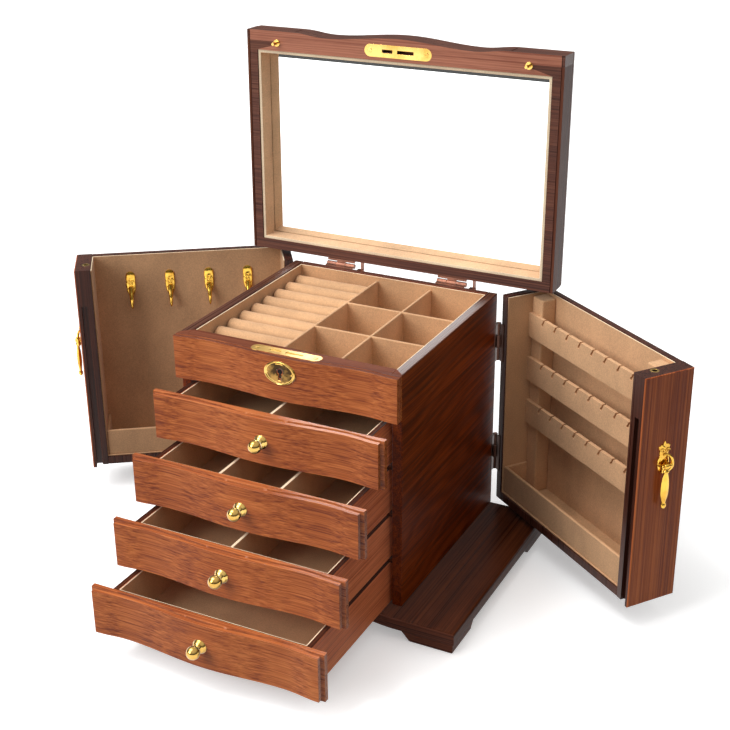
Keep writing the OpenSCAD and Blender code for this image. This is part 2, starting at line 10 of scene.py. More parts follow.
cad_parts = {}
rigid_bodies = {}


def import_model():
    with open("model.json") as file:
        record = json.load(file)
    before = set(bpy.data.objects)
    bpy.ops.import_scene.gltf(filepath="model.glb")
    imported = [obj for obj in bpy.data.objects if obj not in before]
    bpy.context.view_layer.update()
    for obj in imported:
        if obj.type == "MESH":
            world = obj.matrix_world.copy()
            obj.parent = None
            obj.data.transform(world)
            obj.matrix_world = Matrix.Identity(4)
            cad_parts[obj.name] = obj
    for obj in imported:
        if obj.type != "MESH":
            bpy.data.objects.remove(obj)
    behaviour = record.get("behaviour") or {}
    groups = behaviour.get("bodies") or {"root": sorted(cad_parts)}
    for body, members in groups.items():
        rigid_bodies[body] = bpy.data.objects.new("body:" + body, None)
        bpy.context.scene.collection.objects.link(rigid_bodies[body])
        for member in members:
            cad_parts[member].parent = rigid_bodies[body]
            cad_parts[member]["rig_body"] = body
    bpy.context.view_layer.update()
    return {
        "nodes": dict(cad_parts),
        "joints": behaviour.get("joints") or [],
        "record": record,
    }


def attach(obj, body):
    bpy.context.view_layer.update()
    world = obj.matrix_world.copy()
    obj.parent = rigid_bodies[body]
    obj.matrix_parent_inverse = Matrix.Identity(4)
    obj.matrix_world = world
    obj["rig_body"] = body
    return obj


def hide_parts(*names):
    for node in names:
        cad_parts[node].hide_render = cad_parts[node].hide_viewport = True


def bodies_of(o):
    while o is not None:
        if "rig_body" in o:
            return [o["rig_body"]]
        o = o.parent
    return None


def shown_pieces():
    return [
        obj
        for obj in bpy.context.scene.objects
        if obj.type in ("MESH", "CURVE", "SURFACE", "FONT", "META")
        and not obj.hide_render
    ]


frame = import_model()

scene = bpy.context.scene
MM = 0.001


# ---- Coordinates ----

def rest_pose(body):
    """Where a body stands at rest, as a matrix that takes its closed pose to the open one."""
    for joint in frame["joints"]:
        if joint["child"] == body:
            axis = Vector(joint["axis"])
            if joint["type"] == "hinge":
                place = Matrix.Translation(joint["pos_m"])
                turn = Matrix.Rotation(radians(-joint["range_deg"][0]), 4, axis)
                own = place @ turn @ place.inverted()
            else:
                own = Matrix.Translation(axis * -joint["range_m"][0])
            return own @ rest_pose(joint["parent"])
    return Matrix.Identity(4)


def body_of(node):
    for body, members in frame["record"]["behaviour"]["bodies"].items():
        if node in members:
            return body


def closed_box(node):
    """Lowest and highest corner of a CAD node with everything closed."""
    back = rest_pose(body_of(node)).inverted()
    points = [back @ v.co for v in frame["nodes"][node].data.vertices]
    return (Vector(map(min, zip(*points))), Vector(map(max, zip(*points))))


# ---- Node materials ----

def linear(r, g, b):
    """An sRGB colour of 0 to 255 as the linear colour that the shaders take."""
    values = [c / 255 for c in (r, g, b)]
    return [c / 12.92 if c <= 0.04045 else ((c + 0.055) / 1.055) ** 2.4 for c in values] + [1]


class Nodes:
    """Builds one node material round a Principled shader, in the object's own coordinates."""

    def __init__(self, name, **constants):
        self.material = bpy.data.materials.new(name)
        self.material.use_nodes = True
        self.tree = self.material.node_tree
        self.shader = self.tree.nodes["Principled BSDF"]
        self.place = self.tree.nodes.new("ShaderNodeTexCoord").outputs["Object"]
        for socket, value in constants.items():
            self.shader.inputs[socket.replace("_", " ")].default_value = value

    def add(self, kind, inputs=(), **settings):
        node = self.tree.nodes.new("ShaderNode" + kind)
        for name, value in settings.items():
            setattr(node, name, value)
        for socket, value in dict(inputs).items():
            if isinstance(value, bpy.types.NodeSocket):
                self.tree.links.new(value, node.inputs[socket])
            else:
                node.inputs[socket].default_value = value
        return node

    def stretched(self, scale):
        return self.add("Mapping", {"Vector": self.place, "Scale": scale}).outputs["Vector"]

    def height(self):
        """The point's own Z, in metres."""
        return self.add("SeparateXYZ", {"Vector": self.place}).outputs["Z"]

    def noise(self, place, scale=1.0, detail=4.0, roughness=0.55, distortion=0.0):
        node = self.add("TexNoise", {"Vector": place, "Scale": scale, "Detail": detail,
                                     "Roughness": roughness, "Distortion": distortion})
        return node.outputs["Fac"]

    def math(self, operation, a, b=0.0):
        return self.add("Math", {0: a, 1: b}, operation=operation).outputs[0]

    def blended(self, *parts):
        """The sum of (value, weight) pairs."""
        total = None
        for value, weight in parts:
            scaled = self.math("MULTIPLY", value, weight)
            total = self.math("ADD", total, scaled) if total else scaled
        return total

    def range(self, value, low, high, to_low=0.0, to_high=1.0):
        node = self.add("MapRange", {"Value": value, "From Min": low, "From Max": high,
                                     "To Min": to_low, "To Max": to_high})
        return node.outputs["Result"]

    def ramp(self, value, stops):
        node = self.add("ValToRGB", {"Fac": value})
        elements = node.color_ramp.elements
        while len(elements) < len(stops):
            elements.new(0.5)
        for element, (position, color) in zip(elements, stops):
            element.position = position
            element.color = color
        return node.outputs["Color"]

    def mix(self, factor, a, b):
        return self.add("Mix", {0: factor, 6: a, 7: b}, data_type="RGBA").outputs[2]

    def surface(self, color, roughness=None, height=None, bump=0.1, distance=0.0003):
        """Links the shader's inputs. bump is a strength, and distance is in metres."""
        self.tree.links.new(color, self.shader.inputs["Base Color"])
        if roughness is not None:
            self.tree.links.new(roughness, self.shader.inputs["Roughness"])
        if height is not None:
            node = self.add("Bump", {"Height": height, "Strength": bump, "Distance": distance})
            self.tree.links.new(node.outputs["Normal"], self.shader.inputs["Normal"])
        return self.material


def wood(name, axis, dark, mid, light, figure=0.3, gloss=0.3, sheen=0.15, specular=0.2):
    """Stained and lacquered wood whose grain runs along axis: 0 is X, 1 is Y and 2 is Z. figure is
    the strength of the growth rings, gloss the roughness and sheen the weight of the lacquer."""
    m = Nodes(name, Coat_Weight=sheen, Coat_Roughness=0.2, Specular_IOR_Level=specular)

    def along(length, width):
        return m.stretched([length if i == axis else width for i in range(3)])

    wander = m.noise(along(3.2, 15), detail=2, distortion=0.4)
    rings = m.math("SINE", m.math("MULTIPLY", wander, 90))
    streaks = m.noise(along(2.2, 640), detail=2, roughness=0.5)
    bands = m.noise(along(2.5, 95), detail=3)
    fibres = m.noise(along(7, 1500), detail=2)
    pores = m.range(m.noise(along(40, 2600), detail=2), 0.6, 0.7)
    tone = m.noise(m.stretched([11, 11, 11]), detail=2)
    value = m.blended((streaks, 0.4), (fibres, 0.4), (bands, 0.2), (rings, 0.03 * figure))
    value = m.math("ADD", value, m.range(tone, 0.3, 0.7, -0.035, 0.035))
    color = m.ramp(value, [(0.39, linear(*dark)), (0.5, linear(*mid)), (0.62, linear(*light))])
    color = m.mix(m.math("MULTIPLY", pores, 0.4), color, linear(*[c * 0.6 for c in dark]))
    rough = m.range(streaks, 0.3, 0.7, gloss - 0.05, gloss + 0.1)
    height = m.math("SUBTRACT", m.math("MULTIPLY", streaks, 0.4), pores)
    return m.surface(color, rough, height, bump=0.1, distance=0.00012)


def flock(name, color, painted_shade_band=None):
    """Velvet flock: matt, with a fine pile and faint brushed patches. With the third argument, shade is
    painted into the colour: it darkens below a height, from its second value down to its first."""
    pale, dark, painted_shade_share = 1.12, 0.88, 0.62
    m = Nodes(name, Sheen_Weight=0.12, Sheen_Roughness=0.5, Specular_IOR_Level=0.1)
    pile = m.noise(m.place, 2600, detail=2)
    speck = m.noise(m.place, 900, detail=4, roughness=0.7)
    brushed = m.noise(m.stretched([26, 26, 14]), detail=3)
    value = m.blended((speck, 0.6), (brushed, 0.4))
    high = [min(255, c * pale) for c in color]
    low = [c * dark for c in color]
    shade = m.ramp(value, [(0.34, linear(*low)), (0.5, linear(*color)), (0.68, linear(*high))])
    # Painted shade: the colour darkens towards the bottom of the given band of heights.
    if painted_shade_band:
        painted_shade_color = linear(*[c * painted_shade_share for c in color])
        shade = m.mix(m.range(m.height(), *painted_shade_band, 0.85, 0), shade, painted_shade_color)
    rough = m.range(speck, 0.3, 0.7, 0.86, 1.0)
    height = m.math("ADD", pile, m.math("MULTIPLY", speck, 0.6))
    return m.surface(shade, rough, height, bump=0.35, distance=0.0002)


def metal(name, bright, tarnished, low, high, wear=0.5):
    """Cast or pressed metal, bright and darker in soft patches. Its roughness is from low to high."""
    m = Nodes(name, Metallic=1.0, Coat_Weight=0.15, Coat_Roughness=0.08)
    patches = m.noise(m.stretched([60, 60, 60]), detail=4, roughness=0.6)
    grain = m.noise(m.place, 1500, detail=3)
    shade = m.ramp(m.blended((patches, 0.8), (grain, 0.2)),
                   [(0.5 - wear * 0.3, linear(*tarnished)), (0.56, linear(*bright))])
    rough = m.range(grain, 0.3, 0.7, low, high)
    return m.surface(shade, rough, patches, bump=0.08, distance=0.0002)


# Colours are the dark, middle and light tones of the grain, or the bright and dark tones of a metal.
FRONT_X = wood("wood_front_x", 0, (116, 48, 16), (164, 84, 36), (196, 114, 60),
               sheen=0.16, specular=0.12)
FRONT_Z = wood("wood_front_z", 2, (124, 52, 23), (166, 84, 42), (196, 110, 62), sheen=0.1, specular=0.1)
RAIL_TOP = wood("wood_rail_top", 0, (82, 38, 24), (108, 58, 40), (130, 76, 54),
                gloss=0.5, sheen=0.0, specular=0.05)
# A paler, glossier copy of the front wood, painted on the upper rounded edges as a highlight.
FRONT_PAINTED_HIGHLIGHT = wood("wood_front_painted_highlight", 0, (156, 88, 54), (206, 134, 92), (230, 164, 122), sheen=0.2)
CASE_Y = wood("wood_case_y", 1, (70, 24, 5), (104, 40, 8), (134, 60, 19), figure=1.5, gloss=0.4,
              sheen=0.0, specular=0.08)
CASE_X = wood("wood_case_x", 0, (70, 24, 5), (104, 40, 8), (134, 60, 19), figure=1.2, gloss=0.4,
              sheen=0.0, specular=0.08)
CASE_RIM = wood("wood_case_rim", 1, (56, 29, 19), (80, 45, 32), (100, 60, 43), sheen=0.05, specular=0.08)
BASE_X = wood("wood_base_x", 0, (60, 27, 16), (92, 48, 32), (118, 66, 46), sheen=0.04, specular=0.08)
BASE_Y = wood("wood_base_y", 1, (50, 20, 8), (74, 34, 16), (96, 50, 28), sheen=0.0, specular=0.06)
DARK_X = wood("wood_dark_x", 0, (64, 32, 22), (90, 50, 37), (112, 68, 50), sheen=0.12, specular=0.12)
DARK_Y = wood("wood_dark_y", 1, (64, 32, 22), (90, 50, 37), (112, 68, 50), sheen=0.0, specular=0.05)
DARK_Z = wood("wood_dark_z", 2, (46, 22, 15), (68, 36, 26), (90, 50, 38), sheen=0.12, specular=0.12)
LID_RAIL = wood("wood_lid_rail", 0, (134, 74, 54), (166, 104, 80), (188, 124, 98), sheen=0.1)
BOX_Y = wood("wood_box_y", 1, (170, 84, 48), (212, 118, 76), (234, 142, 96),
             gloss=0.45, sheen=0.0, specular=0.1)
BOX_TOP = wood("wood_box_top", 1, (44, 20, 12), (68, 34, 22), (90, 48, 32),
               gloss=0.5, sheen=0.0, specular=0.04)
VELVET = flock("velvet", (198, 156, 117))
# A paler copy of the velvet for the lid's lining, painted lighter as light falling on it.
VELVET_LID_PAINTED_LIGHT = flock("velvet_lid_painted_light", (220, 178, 138))
# A paler copy of the velvet, painted on the top rims of the linings as light falling on them.
VELVET_PAINTED_LIT_RIM = flock("velvet_painted_lit_rim", (240, 216, 184))
BRASS = metal("polished_brass", (222, 184, 104), (190, 146, 66), 0.06, 0.15)
# A darker brass for the escutcheon's field, painted dark as a reflection of dark surroundings.
BRASS_PAINTED_DARK_REFLECTION = metal("brass_painted_dark_reflection", (158, 120, 62), (58, 40, 18), 0.1, 0.2, 0.2)
# A near-black metal for the sheet that closes the keyhole, as painted shade in the hole.
KEYHOLE_PAINTED_SHADE = metal("keyhole_painted_shade", (26, 20, 16), (12, 9, 8), 0.5, 0.7)
PLATE = metal("brushed_brass", (206, 166, 88), (168, 126, 56), 0.34, 0.46)
CAST = metal("cast_gilt", (232, 186, 78), (176, 120, 34), 0.12, 0.22, wear=0.8)
DOOR_BRONZE = metal("door_hinge_bronze", (74, 48, 38), (44, 28, 24), 0.3, 0.45, wear=0.9)
BRONZE = metal("hinge_bronze", (128, 84, 66), (66, 40, 32), 0.26, 0.42, wear=0.9)


def mirror_glass():
    """Silvered glass with a faint haze."""
    m = Nodes("mirror_glass", Metallic=1.0, Coat_Weight=0.2, Coat_Roughness=0.02)
    haze = m.noise(m.place, 8, detail=2)
    shade = m.ramp(haze, [(0.3, (0.93, 0.95, 0.95, 1)), (0.7, (0.97, 0.98, 0.98, 1))])
    return m.surface(shade, m.range(haze, 0.3, 0.7, 0.01, 0.03))


def floor_paper():
    """White paper that glows a little, as in a photographer's light tent."""
    m = Nodes("floor_paper", Roughness=0.9, Specular_IOR_Level=0.0, Emission_Strength=0.34,
              Emission_Color=(1, 1, 1, 1))
    fibre = m.noise(m.place, 300, detail=3)
    shade = m.ramp(fibre, [(0.3, (0.86, 0.86, 0.865, 1)), (0.7, (0.89, 0.89, 0.89, 1))])
    return m.surface(shade)


MIRROR = mirror_glass()


# ---- Mesh building ----

def piece(name, bm, body, materials, nodes, sharp=40, flat=True):
    """Links bm, drawn with everything closed, as a piece that rides on body and stands for nodes.
    Edges over sharp degrees stay sharp, and flat keeps broad faces evenly shaded."""
    mesh = bpy.data.meshes.new(name)
    bmesh.ops.recalc_face_normals(bm, faces=bm.faces)
    for face in bm.faces:
        face.smooth = True
    bm.to_mesh(mesh)
    bm.free()
    for material in materials:
        mesh.materials.append(material)
    mesh.set_sharp_from_angle(angle=radians(sharp))
    obj = bpy.data.objects.new(name, mesh)
    scene.collection.objects.link(obj)
    obj.matrix_world = rest_pose(body)
    if flat:
        obj.modifiers.new("normals", "WEIGHTED_NORMAL").keep_sharp = True
    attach(obj, body)
    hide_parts(*nodes)
    return obj


def cad_form(node):
    """The CAD node's shape with everything closed, welded, with its flat faces whole again."""
    bm = bmesh.new()
    bm.from_mesh(frame["nodes"][node].data)
    bm.transform(rest_pose(body_of(node)).inverted())
    bmesh.ops.remove_doubles(bm, verts=bm.verts, dist=3e-6)
    bmesh.ops.dissolve_limit(bm, angle_limit=radians(0.2), verts=bm.verts, edges=bm.edges)
    return bm


def soften(bm, width, segments=2, where=lambda edge: True):
    """Rounds the sharp edges that where picks."""
    bm.normal_update()
    edges = [e for e in bm.edges
             if len(e.link_faces) == 2 and e.calc_face_angle() > radians(35) and where(e)]
    bmesh.ops.bevel(bm, geom=edges, offset=width, offset_type="OFFSET", segments=segments,
                    profile=0.5, affect="EDGES", clamp_overlap=True)


def paint(bm, index, where):
    """Gives the faces that where(centre, normal) picks the material of that index."""
    bm.normal_update()
    for face in bm.faces:
        if where(face.calc_center_median(), face.normal):
            face.material_index = index


def cut(bm, point, normal):
    """Cuts the faces of bm along a plane, and keeps both sides."""
    bmesh.ops.bisect_plane(bm, geom=bm.verts[:] + bm.edges[:] + bm.faces[:],
                           plane_co=point, plane_no=normal, dist=1e-6)


def refined(node, materials, width, segments=2, rules=()):
    """A CAD node redrawn with softened edges. Each rule paints a material index on faces."""
    bm = cad_form(node)
    soften(bm, width, segments)
    for index, where in rules:
        paint(bm, index, where)
    piece(node + ".fine", bm, body_of(node), materials, [node])


def skin(bm, rings, caps=True):
    """Faces between rings of points, and over the first and last ring if caps."""
    loops = [[bm.verts.new(p) for p in ring] for ring in rings]
    count = len(loops[0])
    for a, b in zip(loops, loops[1:]):
        for i in range(count):
            j = (i + 1) % count
            bm.faces.new((a[i], a[j], b[j], b[i]))
    if caps:
        bm.faces.new(loops[0][::-1])
        bm.faces.new(loops[-1])


def lathe(bm, profile, place, steps=40):
    """A turned form: profile is (radius, height) along +Z, and place puts it where it belongs."""
    turns = [tau * k / steps for k in range(steps)]
    skin(bm, [[place @ Vector((max(r, 1e-6) * cos(a), max(r, 1e-6) * sin(a), h)) for a in turns]
              for r, h in profile])


def arc(centre, radius, start, end, steps):
    """(radius, height) points of an arc about (0, centre), by angle from the axis in degrees."""
    angles = [radians(start + (end - start) * k / steps) for k in range(steps + 1)]
    return [(radius * sin(a), centre + radius * cos(a)) for a in angles]


def smooth_path(points, steps=6):
    """Catmull-Rom points through points."""
    points = [Vector(p) for p in points]
    ends = [2 * points[0] - points[1]] + points + [2 * points[-1] - points[-2]]
    path = []
    for a, b, c, d in zip(ends, ends[1:], ends[2:], ends[3:]):
        for k in range(steps):
            t = k / steps
            path.append(0.5 * (2 * b + (c - a) * t + (2 * a - 5 * b + 4 * c - d) * t * t
                               + (3 * b - a - 3 * c + d) * t ** 3))
    return path + [points[-1]]


def tube(bm, path, radii, steps=12, side=Vector((1, 0, 0))):
    """A tapered tube along path, with its radii spread along it. Its first corner is towards side."""
    rings = []
    last = len(path) - 1
    for i, point in enumerate(path):
        ahead = (path[min(i + 1, last)] - path[max(i - 1, 0)]).normalized()
        across = (side - ahead * side.dot(ahead)).normalized()
        other = ahead.cross(across)
        f = i / last * (len(radii) - 1)
        k = min(int(f), len(radii) - 2)
        r = radii[k] + (radii[k + 1] - radii[k]) * (f - k)
        turns = [tau * j / steps for j in range(steps)]
        rings.append([point + across * (r * cos(a)) + other * (r * sin(a)) for a in turns])
    skin(bm, rings)


# ---- Wooden case ----

def bowed_front(node, rules, materials):
    """A serpentine front whose face layer has rounded edges, redrawn from its CAD node."""
    bm = cad_form(node)
    near_end_x = 107 * MM
    flat_y = min(v.co.y for v in bm.verts if abs(v.co.x) > near_end_x)
    layer_y = flat_y + 3.2 * MM

    def of_face_layer(edge):
        return any(f.normal.y < -0.8 and f.calc_center_median().y < layer_y
                   for f in edge.link_faces) and all(v.co.y < layer_y for v in edge.verts)

    soften(bm, 1.7 * MM, 4, of_face_layer)
    soften(bm, 0.45 * MM, 2, lambda e: all(v.co.y > layer_y + 0.2 * MM for v in e.verts)
           and e.calc_length() > 1.5 * MM)
    for index, where in rules:
        paint(bm, index, where)
    piece(node + ".fine", bm, body_of(node), materials, [node])


def painted_highlight_edge(c, n):
    """The middle of an upper rounded edge, where a paler, glossier wood is painted on as a highlight."""
    return 0.35 < n.z < 0.85 and abs(n.x) < 0.5


# The upper rounded edges of the rail and the drawer fronts get a painted highlight.
bowed_front("front_rail",
            [(1, lambda c, n: n.z > 0.995), (2, painted_highlight_edge)],
            [FRONT_X, RAIL_TOP, FRONT_PAINTED_HIGHLIGHT])

for i in range(1, 5):
    bowed_front(f"drawer_front_{i}", [(1, painted_highlight_edge)], [FRONT_X, FRONT_PAINTED_HIGHLIGHT])
    top = closed_box(f"drawer_box_{i}")[1].z
    refined(f"drawer_box_{i}", [BOX_Y, BOX_TOP], 0.5 * MM, 2,
            [(1, lambda c, n: n.z > 0.6 and c.z > top - 1 * MM)])
    refined(f"drawer_lining_{i}", [VELVET, VELVET_PAINTED_LIT_RIM], 0.35 * MM, 2,
            [(1, lambda c, n: n.z > 0.5 and c.z > top - 1.2 * MM)])

TRAY_LOW, TRAY_HIGH = closed_box("tray_lining")


def case_side(side):
    """A case side whose top edge meets the rail's in a mitre at the front corner."""
    bm = cad_form(side + "_side")
    soften(bm, 1.0 * MM, 3)
    corner = Vector((TRAY_LOW.x if side == "left" else TRAY_HIGH.x, TRAY_LOW.y, 0))
    out = -1 if side == "left" else 1
    cut(bm, corner, Vector((out, 1, 0)))
    paint(bm, 1, lambda c, n: n.z > 0.5)
    paint(bm, 2, lambda c, n: n.z > 0.5 and out * (c.x - corner.x) + c.y - corner.y < 0)
    piece(side + "_side.fine", bm, "case", [CASE_Y, CASE_RIM, RAIL_TOP], [side + "_side"])


case_side("left")
case_side("right")
refined("case_back", [CASE_X, DARK_X], 0.6 * MM, 2, [(1, lambda c, n: n.z > 0.5)])
refined("drawer_shelves", [BOX_TOP], 0.3 * MM)
refined("tray_floor", [BOX_TOP], 0.3 * MM)


def base_board():
    """The base board, with its top edge rounded over. It follows the outline of its CAD node."""
    low, high = closed_box("base_board")
    underside = {(round(v.co.x, 6), round(v.co.y, 6))
                 for v in frame["nodes"]["base_board"].data.vertices if v.co.z < low.z + 0.01 * MM}
    outline = sorted(underside, key=lambda p: atan2(p[1], p[0]))
    bm = bmesh.new()
    levels = [(0.6, low.z), (0.15, low.z + 0.2 * MM), (0, low.z + 0.7 * MM)]
    levels += [(inset, high.z - down * MM)
               for inset, down in ((0, 2.4), (0.25, 1.3), (0.9, 0.5), (1.8, 0.1), (2.6, 0))]
    skin(bm, [[(x * (1 - inset * MM / high.x), y * (1 - inset * MM / high.y), z) for x, y in outline]
              for inset, z in levels])
    paint(bm, 1, lambda c, n: abs(n.y) > 0.7)
    piece("base_board.fine", bm, "case", [BASE_Y, BASE_X], ["base_board"])


base_board()
refined("feet", [BASE_X], 0.8 * MM, 3)


# ---- Linings ----

refined("tray_lining", [VELVET, VELVET_PAINTED_LIT_RIM], 0.4 * MM, 2,
        [(1, lambda c, n: n.z > 0.6 and c.z > TRAY_HIGH.z - 1 * MM)])
refined("tray_dividers", [VELVET], 0.9 * MM, 3)


def swollen(bm, cap, voxel=0.011, grow=10):
    """The closed form bm puffed up by cloth under pressure, its base held down, no point moving
    more than cap. The cloth is solved at grow times its size, then scaled back."""
    mesh = bpy.data.meshes.new("pad_start")
    bm.transform(Matrix.Scale(grow, 4))
    bm.to_mesh(mesh)
    bm.free()
    pad = bpy.data.objects.new("pad_start", mesh)
    scene.collection.objects.link(pad)
    remesh = pad.modifiers.new("remesh", "REMESH")
    remesh.mode = "VOXEL"
    remesh.voxel_size = voxel
    graph = bpy.context.evaluated_depsgraph_get()
    pad.data = bpy.data.meshes.new_from_object(pad.evaluated_get(graph))
    pad.modifiers.clear()
    start = [v.co.copy() for v in pad.data.vertices]
    base = min(p.z for p in start)
    held = pad.vertex_groups.new(name="held")
    held_height = 3 * voxel
    held.add([i for i, p in enumerate(start) if p.z < base + held_height], 1.0, "REPLACE")
    cloth = pad.modifiers.new("cloth", "CLOTH")
    cloth.settings.use_pressure = True
    cloth.settings.uniform_pressure_force = 4
    cloth.settings.effector_weights.gravity = 0
    cloth.settings.vertex_group_mass = "held"
    last_frame = 15
    for step in range(1, last_frame + 1):
        scene.frame_set(step)
    graph = bpy.context.evaluated_depsgraph_get()
    puffed = pad.evaluated_get(graph).data
    out = bmesh.new()
    out.from_mesh(pad.data)
    for vertex, before, after in zip(out.verts, start, puffed.vertices):
        move = after.co - before
        if move.length > cap * grow:
            move *= cap * grow / move.length
        vertex.co = (before + move) / grow
    scene.frame_set(1)
    bpy.data.objects.remove(pad)
    return out


def ring_rolls():
    """Nine half-round foam rolls. One is puffed up, and each copy sits a little differently. They
    stay inside their CAD node's box."""
    low, high = closed_box("ring_rolls")
    count = 9
    step = (high.y - low.y) / count
    half = step / 2 - 0.5 * MM
    length = high.x - low.x
    depth = high.z - low.z
    one = bmesh.new()
    corners = 18
    outline = [(-half, -depth), (half, -depth)]
    outline += [(half * cos(pi * k / corners), -half + half * sin(pi * k / corners))
                for k in range(corners + 1)]
    stations = 34
    rings = []
    for s in range(stations + 1):
        t = s / stations
        end = min(t, 1 - t) * length
        pinch = 1 - 0.3 * exp(-end / (1.5 * MM))
        rings.append([(low.x + 1.2 * MM + (length - 1.4 * MM) * t, y * pinch,
                       high.z - 0.6 * MM + z * (1 if z < -half else pinch)) for y, z in outline])
    skin(one, rings)
    one = swollen(one, 0.9 * MM)
    bm = bmesh.new()
    shape = bpy.data.meshes.new("one_roll")
    one.to_mesh(shape)
    one.free()
    for i in range(count):
        first = len(bm.verts)
        bm.from_mesh(shape)
        bm.verts.ensure_lookup_table()
        y = low.y + (i + 0.5) * step
        for vertex in bm.verts[first:]:
            p = vertex.co
            sway = noise.noise(Vector((p.x * 30, i * 7.3, 0))) * 0.5 * MM
            dent = noise.noise(Vector((p.x * 90, p.y * 120 + i * 3.1, p.z * 120))) * 0.25 * MM
            moved = (p.x, p.y * 0.995 + y + sway * 0.6, p.z + dent + sway * 0.4)
            vertex.co = [min(max(value, low[k]), high[k]) for k, value in enumerate(moved)]
    # Painted shade: the rolls' velvet darkens down into the valleys between them.
    pile = flock("velvet_rolls", (202, 159, 119), painted_shade_band=(high.z - half, high.z - 0.35 * half))
    rolls = piece("ring_rolls.padded", bm, "case", [pile], ["ring_rolls"], 80, False)
    rolls.modifiers.new("smooth", "SUBSURF").render_levels = 1


ring_rolls()


# ---- Lid ----

def lid_frame():
    """The lid's frame: its front rail is lighter, and a quirk runs inside the outer edge."""
    bm = cad_form("lid_frame")
    low, high = closed_box("lid_frame")
    hollow_low, hollow_high = closed_box("lid_lining")
    joint_y = low.y + 12 * MM
    quirk, quirk_end = 2.4 * MM, 3.1 * MM
    cut(bm, Vector((0, joint_y, 0)), Vector((0, 1, 0)))
    for side in (-1, 1):
        for inset in (quirk, quirk_end):
            cut(bm, Vector((side * (high.x - inset), 0, 0)), Vector((1, 0, 0)))
    bm.normal_update()
    strips = [f for f in bm.faces if f.normal.z < -0.9
              and quirk < high.x - abs(f.calc_center_median().x) < quirk_end
              and f.calc_center_median().y > low.y + 3 * MM]
    moved = bmesh.ops.extrude_face_region(bm, geom=strips)
    bmesh.ops.translate(bm, vec=(0, 0, 0.9 * MM),
                        verts=[v for v in moved["geom"] if isinstance(v, bmesh.types.BMVert)])
    bmesh.ops.delete(bm, geom=strips, context="FACES_ONLY")
    soften(bm, 1.1 * MM, 3, lambda e: e.calc_length() > 8 * MM and all(
        abs(v.co.x) > high.x - 0.1 * MM or v.co.y < low.y + 6 * MM or v.co.y > high.y - 0.1 * MM
        for v in e.verts))
    inner_x = hollow_high.x - 0.2 * MM
    paint(bm, 1, lambda c, n: n.z < -0.6 and c.y < joint_y
          and high.x - abs(c.x) > quirk_end or
          n.z < -0.6 and c.y < hollow_low.y + 1 * MM and abs(c.x) < inner_x)
    paint(bm, 2, lambda c, n: abs(c.x) > inner_x and c.y > joint_y)
    piece("lid_frame.fine", bm, "lid", [DARK_X, LID_RAIL, DARK_Y], ["lid_frame"])


def lid_mirror():
    """The mirror, with a bevelled border."""
    low, high = closed_box("lid_mirror")
    bm = bmesh.new()
    border, slope, edge = 9 * MM, 0.7 * MM, 0.9 * MM
    rings = []
    for inset, z in ((border, low.z), (0, low.z + slope), (0, low.z + slope + edge), (0, high.z)):
        left, right, front, back = low.x + inset, high.x - inset, low.y + inset, high.y - inset
        rings.append([(left, front, z), (right, front, z), (right, back, z), (left, back, z)])
    skin(bm, rings)
    piece("lid_mirror.fine", bm, "lid", [MIRROR], ["lid_mirror"], 2, False)


LID_RIM = closed_box("lid_lining")[0].z
lid_frame()
refined("lid_panel", [DARK_X], 1.1 * MM, 3)
lid_mirror()
refined("lid_lining", [VELVET_LID_PAINTED_LIGHT, VELVET_PAINTED_LIT_RIM], 0.5 * MM, 2,
        [(1, lambda c, n: n.z < -0.6 and c.z < LID_RIM + 0.8 * MM)])
refined("strike_plate", [BRASS], 0.15 * MM)
refined("lid_pins", [BRASS], 0.2 * MM)


# ---- Doors ----

for side in ("left", "right"):
    front_y = closed_box(side + "_door_front")[0].y
    bm = cad_form(side + "_door_front")
    soften(bm, 1.2 * MM, 3, lambda e: all(v.co.y < front_y + 0.1 * MM for v in e.verts))
    soften(bm, 0.6 * MM, 2, lambda e: all(v.co.y > front_y + 3 * MM for v in e.verts)
           and e.calc_length() > 9 * MM)
    paint(bm, 1, lambda c, n: c.y > front_y + 2.2 * MM)
    piece(side + "_door_front.fine", bm, side + "_door", [FRONT_Z, DARK_Z],
          [side + "_door_front"])
    refined(side + "_door_shell", [DARK_Z], 0.8 * MM, 3)
    top = closed_box(side + "_door_lining")[1].z
    refined(side + "_door_lining", [VELVET, VELVET_PAINTED_LIT_RIM], 0.4 * MM, 2,
            [(1, lambda c, n: n.z > 0.6 and c.z > top - 0.8 * MM)])
    refined(side + "_door_pocket", [VELVET], 1.0 * MM, 3)
    refined(side + "_door_socket", [BRASS], 0.15 * MM)

refined("necklace_bars", [VELVET], 0.5 * MM, 2)
refined("bar_cleats", [VELVET], 1.5 * MM, 3)


# ---- Brass ----

def knob(i):
    """A turned ball knob on a bell collar."""
    low, high = closed_box(f"drawer_knob_{i}")
    reach = (high.y - low.y) / MM
    ball = (high.x - low.x) / 2 / MM - 0.6
    centre = reach - ball
    profile = [(0, 0), (6.4, 0), (6.5, 0.4), (6.3, 1.0), (5.7, 1.7), (5.4, 2.3), (5.3, 2.7), (4.6, 3.2),
               (3.7, 3.8), (3.2, 4.5), (3.1, 5.1)]
    profile += arc(centre, ball, 146, 0, 18)
    middle = Vector(((low.x + high.x) / 2, high.y, (low.z + high.z) / 2))
    place = Matrix.Translation(middle) @ Matrix.Rotation(radians(90), 4, "X") @ Matrix.Scale(MM, 4)
    bm = bmesh.new()
    lathe(bm, profile, place)
    piece(f"drawer_knob_{i}.fine", bm, f"drawer_{i}", [BRASS], [f"drawer_knob_{i}"],
          50, False)


for i in range(1, 5):
    knob(i)


